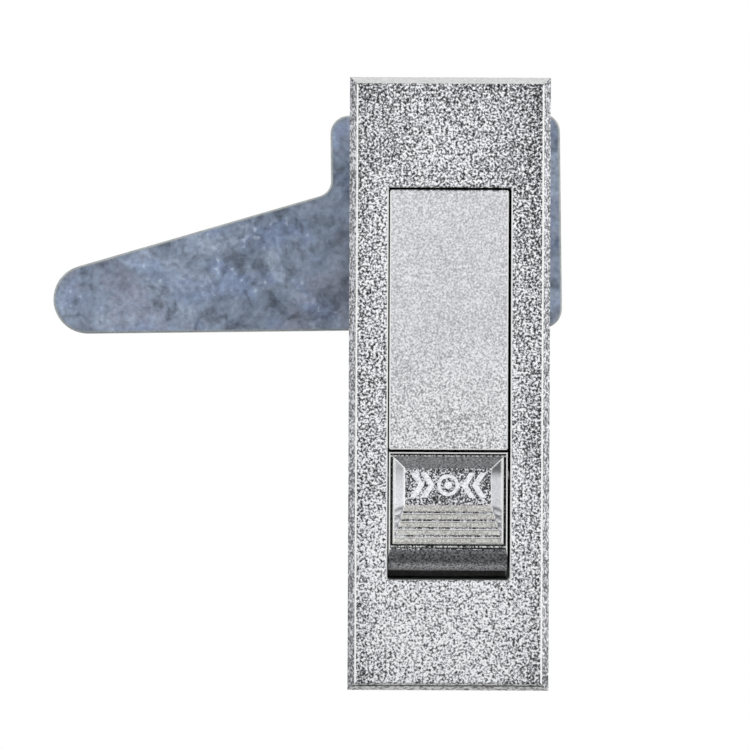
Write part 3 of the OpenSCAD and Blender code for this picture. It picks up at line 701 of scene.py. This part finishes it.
for node_name, node_material in NODE_MATERIALS.items():
    dress(node_name, node_material)
dress("cam", CAM, CAM_EDGE_HIGHLIGHT)
break_edges("cam", CAM_BREAK, CAM_EDGE_HIGHLIGHT)


# Faces of the housing, the handle and the button, by where they are and which way they look

SHALLOW = 0.25 * MM
BEHIND_FACE = 1.6 * MM
RIDGE_BAND = 1.6 * MM
POCKET_BESIDE = 0.8 * MM
POCKET_BEYOND = 2.6 * MM
POCKET_DEPTH = 12.8 * MM
pocket_half = handle_high.x + POCKET_BESIDE
pocket_end = handle_high.z + POCKET_BEYOND

HOUSING_FINISHES = [CAST, FACE, SHADED_LEFT_BEVEL, LIT_RIGHT_BEVEL, LIT_TOP_BEVEL, FOOT_BEVEL, EDGE_HIGHLIGHT, SHADED_POCKET]
HANDLE_FINISHES = [HANDLE, EDGE_HIGHLIGHT]
BUTTON_FINISHES = [BUTTON, BUTTON_RIM, BUTTON_FLOOR, BUTTON_RAMP, SHADED_GROOVE, BUTTON_END, EDGE_HIGHLIGHT,
                   SHADED_DISH_TOP, BUTTON_SIDE]


def housing_finish(face):
    """The material of a face of the housing."""
    centre = face.center
    normal = face.normal
    depth = centre.y - face_y
    in_pocket = abs(centre.x) < pocket_half and abs(centre.z) < pocket_end
    # The pocket's faces get the chrome darkened as painted shade
    if in_pocket and SHALLOW < depth < POCKET_DEPTH:
        return SHADED_POCKET
    if depth > BEHIND_FACE or -normal.y < SEEN:
        return CAST
    if -normal.y > FLAT:
        return FACE
    sideways = abs(normal.x) > abs(normal.z)
    at_side = min(centre.x - face_low.x, face_high.x - centre.x) < RIDGE_BAND
    at_end = min(centre.z - face_low.z, face_high.z - centre.z) < RIDGE_BAND
    # Narrow edge faces get the pale edge chrome, a painted highlight
    if -normal.y > LEAN or not (at_side or at_end):
        return EDGE_HIGHLIGHT if sideways else FACE
    # Painted light: a bevel gets the lit or shaded copy of the chrome by the way it faces
    if sideways:
        return SHADED_LEFT_BEVEL if normal.x < 0 else LIT_RIGHT_BEVEL
    return LIT_TOP_BEVEL if normal.z > 0 else FOOT_BEVEL


def handle_finish(face):
    """The material of a face of the handle."""
    near_face = face.center.y - face_y < SHALLOW
    # Edges beside the face get the pale edge chrome, a painted highlight
    return EDGE_HIGHLIGHT if near_face and -face.normal.y < LEAN else HANDLE


def button_finish(face):
    """The material of a face of the button."""
    centre = face.center
    normal = face.normal
    depth = centre.y - face_y
    flat = -normal.y > FLAT
    level = abs(normal.x) < LEVEL
    at_face = depth < STEP
    low_down = centre.z < floor_end
    if centre.z < flat_end - NEAR:
        return BUTTON_END
    if depth > floor_y - face_y + SHALLOW:
        return BUTTON
    if flat and at_face:
        return BUTTON_RIM
    if flat and not low_down:
        return BUTTON_FLOOR
    # The pale edge chrome chosen below is a painted highlight
    if at_face and not level:
        return EDGE_HIGHLIGHT
    if at_face and not low_down:
        # The dish's upper slope, facing down, gets the chrome darkened as painted shade
        return SHADED_DISH_TOP if normal.z < 0 else EDGE_HIGHLIGHT
    if not level:
        return BUTTON_SIDE
    if not low_down:
        return SHADED_DISH_TOP
    if normal.z > ramp_normal.z + SLIGHT and not at_face:
        return EDGE_HIGHLIGHT
    # Groove faces get the chrome darkened as painted shade
    return BUTTON_RAMP if normal.z > ramp_normal.z - SLIGHT else SHADED_GROOVE


def dress_faces(node, finishes, choose):
    """Puts on each face of a node the one of its finishes that a function chooses."""
    mesh = dress(node, *finishes)
    for face in mesh.polygons:
        face.material_index = finishes.index(choose(face))


dress_faces("housing", HOUSING_FINISHES, housing_finish)
dress_faces("handle", HANDLE_FINISHES, handle_finish)
dress_faces("push_button", BUTTON_FINISHES, button_finish)


# Raised sign on the dish floor: a ring and a dot between chevrons that point at it

SIGN_H = 0.3 * MM
SIGN_SINK = 0.05 * MM
SIGN_BREAK = 0.12 * MM
SIGN_RAISE = 0.25 * MM
SIGN_GAP = 0.35 * MM
CHEVRONS = 2
CHEVRON_W = 2.1 * MM
CHEVRON_H = 3.7 * MM
CHEVRON_T = 0.9 * MM
CHEVRON_PITCH = 1.55 * MM
RING_R = 1.6 * MM
RING_T = 0.5 * MM
DOT_R = 0.55 * MM
ROUND_STEPS = 48


def finished_mesh(name, form, *materials):
    """A mesh of a form, with its faces looking out and materials in its slots."""
    bmesh.ops.recalc_face_normals(form, faces=form.faces)
    mesh = bpy.data.meshes.new(name)
    form.to_mesh(mesh)
    form.free()
    for material in materials:
        mesh.materials.append(material)
    return mesh


def button_piece(mesh, place=(0, 0, 0)):
    """A piece of the button's chrome, which rides on the button."""
    piece = bpy.data.objects.new(mesh.name, mesh)
    piece.location = place
    bpy.context.scene.collection.objects.link(piece)
    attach(piece, "button")


def chevron(x, turn):
    """Outline of a chevron with its tip at x, looking along turn."""
    steps = [(0, 1), (CHEVRON_T, 1), (CHEVRON_W, 0), (CHEVRON_T, -1), (0, -1), (CHEVRON_W - CHEVRON_T, 0)]
    return [(x + turn * (u - CHEVRON_W), v * CHEVRON_H / 2) for u, v in steps]


def circle(radius):
    """Outline of a circle."""
    angles = [2 * math.pi * i / ROUND_STEPS for i in range(ROUND_STEPS)]
    return [(radius * math.cos(angle), radius * math.sin(angle)) for angle in angles]


def add_loop(form, outline):
    """Edges round an outline on the dish floor."""
    points = [form.verts.new((u, 0, v)) for u, v in outline]
    return [form.edges.new((points[i - 1], points[i])) for i in range(len(points))]


def sign_flats(form):
    """Flat faces of the dot, the chevrons and the ring."""
    outlines = [circle(DOT_R)]
    for i in range(CHEVRONS):
        tip = RING_R + SIGN_GAP + i * CHEVRON_PITCH
        outlines += [chevron(-tip, 1), chevron(tip, -1)]
    for outline in outlines:
        form.faces.new([form.verts.new((u, 0, v)) for u, v in outline])
    ring = add_loop(form, circle(RING_R)) + add_loop(form, circle(RING_R - RING_T))
    bmesh.ops.bridge_loops(form, edges=ring)
    return form.faces[:]


def sign():
    """The flats raised off the floor and their edges broken, with satin chrome on all but the tops."""
    form = bmesh.new()
    raised = bmesh.ops.extrude_face_region(form, geom=sign_flats(form))["geom"]
    tops = [item for item in raised if isinstance(item, bmesh.types.BMFace)]
    lifted = {vertex for face in tops for vertex in face.verts}
    bmesh.ops.translate(form, verts=list(lifted), vec=(0, -SIGN_H - SIGN_SINK, 0))
    border = [edge for face in tops for edge in face.edges
              if sum(other in tops for other in edge.link_faces) == 1]
    bmesh.ops.bevel(form, geom=border, offset=SIGN_BREAK, segments=BREAK_SEGMENTS, affect="EDGES")
    mesh = finished_mesh("button_sign", form, SIGN, SIGN_EDGE)
    for face in mesh.polygons:
        face.material_index = int(-face.normal.y < FLAT)
    floor_x = (floor_left + floor_right) / 2
    floor_z = (floor_end + floor_top) / 2
    button_piece(mesh, place=(floor_x, floor_y + SIGN_SINK, floor_z + SIGN_RAISE))


sign()


# Rounded ends of the ribs on the sides of the dish

RIB_H = 0.09 * MM
RIB_WIDTH = 0.95
RIM_DEPTH = 0.15 * MM
LENS_STEPS = 24
LENS_RINGS = 12


def on_plane(face, axis, point):
    """A point moved along an axis onto a face's plane."""
    step = face.normal.dot(face.center - point) / face.normal[axis]
    moved = point.copy()
    moved[axis] += step
    return moved


def rib_ends():
    """A low lens on each side of the dish for each groove, from the rim to the ramp."""
    form = bmesh.new()
    for side in (left_side, right_side):
        for height in grooves:
            place = Vector((0, face_y + RIM_DEPTH, height))
            rim = on_plane(side, 0, place)
            foot = on_plane(side, 0, on_plane(ramp_face, 1, place))
            lean = Vector((0, 0, WAVE_LEAN * abs(foot.x - rim.x) / 2))
            along = (foot - rim) / 2 + lean
            across = side.normal.cross(along).normalized() * rib_pitch / 2 * RIB_WIDTH
            axes = Matrix((along, across, side.normal * RIB_H)).transposed().to_4x4()
            lens = Matrix.Translation((rim + foot) / 2) @ axes
            bmesh.ops.create_uvsphere(form, u_segments=LENS_STEPS, v_segments=LENS_RINGS, radius=1.0,
                                      matrix=lens)
    mesh = finished_mesh("rib_ends", form, RIB_END)
    mesh.shade_smooth()
    button_piece(mesh)


rib_ends()


# Springs, as welded copies of their wires shaded smooth


def spring_copy(node):
    """A welded copy of a spring's wire, shaded smooth, in the node's place."""
    mesh = nodes[node].data.copy()
    form = bmesh.new()
    form.from_mesh(mesh)
    bmesh.ops.remove_doubles(form, verts=form.verts, dist=WELD)
    form.to_mesh(mesh)
    form.free()
    mesh.name = node + "_wire"
    mesh.shade_smooth()
    piece = bpy.data.objects.new(node + "_wire", mesh)
    bpy.context.scene.collection.objects.link(piece)
    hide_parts(node)
    return piece


handle_wire = spring_copy("handle_spring")
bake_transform(handle_wire)
button_wire = spring_copy("button_spring")
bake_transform(button_wire)


# Background, floor and card

WORLD_LIGHT = 0.6
FLOOR_Z = -0.1
FLOOR_HALF = 0.45
FLOOR_GRAIN = 20 * MM
GLOW_NEAR = 0.16
GLOW_FAR = 0.55
GLOW_START = 0.16
GLOW_END = 0.4
CARD_GREY = 0.55
CARD_SPREAD = 0.1
CARD_GRAIN = 30 * MM
CARD_HALF = 0.3
CARD_FRONT = -0.35
CARD_BACK = 0.05
CARD_LIFT = 2 * MM


def light_path(tree):
    """1 for rays of the camera, mirrors and glass, which see the white background."""
    path = tree.nodes.new("ShaderNodeLightPath")
    total = path.outputs["Is Camera Ray"]
    for name in ("Is Glossy Ray", "Is Transmission Ray"):
        add = tree.nodes.new("ShaderNodeMath")
        add.operation = "MAXIMUM"
        tree.links.new(total, add.inputs[0])
        tree.links.new(path.outputs[name], add.inputs[1])
        total = add.outputs["Value"]
    return total


def white_world():
    """A background that looks white and lights the lock at a plain level."""
    world = bpy.data.worlds.new("studio")
    bpy.context.scene.world = world
    world.use_nodes = True
    tree = world.node_tree
    tree.nodes.clear()
    output = tree.nodes.new("ShaderNodeOutputWorld")
    mix = tree.nodes.new("ShaderNodeMixShader")
    tree.links.new(light_path(tree), mix.inputs["Fac"])
    for socket, strength in ((mix.inputs[1], WORLD_LIGHT), (mix.inputs[2], 1.0)):
        background = tree.nodes.new("ShaderNodeBackground")
        background.inputs["Color"].default_value = (*WHITE, 1.0)
        background.inputs["Strength"].default_value = strength
        tree.links.new(background.outputs["Background"], socket)
    tree.links.new(mix.outputs["Shader"], output.inputs["Surface"])


def level_sheet(name, x_half, y_low, y_high, z, material):
    """A level sheet of the stage, at height z."""
    mesh = bpy.data.meshes.new(name)
    corners = [(-x_half, y_low, z), (x_half, y_low, z), (x_half, y_high, z), (-x_half, y_high, z)]
    mesh.from_pydata(corners, [], [(0, 1, 2, 3)])
    mesh.materials.append(material)
    piece = bpy.data.objects.new(name, mesh)
    bpy.context.scene.collection.objects.link(piece)
    return piece


def floor():
    """Pale floor under the lock, white to the camera, with the lock's shadow on it."""
    tree = Tree("floor")
    tree.set(roughness=0.8, emission_color=(*WHITE, 1.0))
    tree.colour(tree.ramp(tree.noise(FLOOR_GRAIN, detail=2.0), [(NOISE_LOW, 0.86), (NOISE_HIGH, 0.9)]))
    away = tree.add("ShaderNodeVectorMath", operation="LENGTH")
    tree.join(tree.place, away.inputs[0])
    rise = tree.between(away.outputs["Value"], GLOW_START, GLOW_END)
    glow = tree.total(tree.math("MULTIPLY", rise, GLOW_FAR - GLOW_NEAR), GLOW_NEAR)
    seen = tree.math("MULTIPLY", light_path(tree.material.node_tree), glow)
    tree.join(seen, tree.shader.inputs["Emission Strength"])
    level_sheet("floor", FLOOR_HALF, -FLOOR_HALF, FLOOR_HALF, FLOOR_Z, tree.material)


def grey_card():
    """Grey card low in front, which only the metal's reflections see."""
    tree = Tree("card")
    tree.set(roughness=0.9)
    dark = (1 - CARD_SPREAD) * CARD_GREY
    pale = (1 + CARD_SPREAD) * CARD_GREY
    tree.colour(tree.ramp(tree.noise(CARD_GRAIN), [(NOISE_LOW, dark), (NOISE_HIGH, pale)]))
    card = level_sheet("card", CARD_HALF, CARD_FRONT, CARD_BACK, FLOOR_Z + CARD_LIFT, tree.material)
    card.visible_camera = False
    card.visible_diffuse = False
    card.visible_transmission = False
    card.visible_shadow = False


# Camera and lamps

CAMERA_AWAY = 0.6
FIELD = 109.85 * MM
SENSOR = 36.0
AIM_X = -10.9 * MM
AIM_Z = 1.25 * MM
UPRIGHT = math.radians(90)
ROLL = math.radians(-0.25)
KEY_PLACE = (0.45, -0.6, 0.7)
KEY_SIZE = 0.3
KEY_POWER = 5.0
SOFT_PLACE = (0.8, -0.25, 0.3)
SOFT_SIZE = 0.8
SOFT_POWER = 0.25


def camera():
    """Camera in front of the lock, looking along +Y."""
    data = bpy.data.cameras.new("camera")
    data.sensor_width = SENSOR
    data.lens = SENSOR * CAMERA_AWAY / FIELD
    eye = bpy.data.objects.new("camera", data)
    bpy.context.scene.collection.objects.link(eye)
    eye.location = (AIM_X, face_y - CAMERA_AWAY, AIM_Z)
    level = Matrix.Rotation(UPRIGHT, 3, "X")
    eye.rotation_euler = (Matrix.Rotation(ROLL, 3, "Y") @ level).to_euler()
    bpy.context.scene.camera = eye


def area_light(name, place, size, power, glossy):
    """Square lamp that looks at the lock; glossy says if the metal mirrors it."""
    data = bpy.data.lights.new(name, "AREA")
    data.energy = power
    data.size = size
    lamp = bpy.data.objects.new(name, data)
    bpy.context.scene.collection.objects.link(lamp)
    lamp.location = place
    lamp.rotation_euler = (-Vector(place)).to_track_quat("-Z", "Y").to_euler()
    lamp.visible_glossy = glossy


camera()
white_world()
floor()
grey_card()
area_light("key", KEY_PLACE, KEY_SIZE, KEY_POWER, glossy=False)
area_light("soft_box", SOFT_PLACE, SOFT_SIZE, SOFT_POWER, glossy=True)
bpy.context.scene.view_settings.view_transform = "Standard"
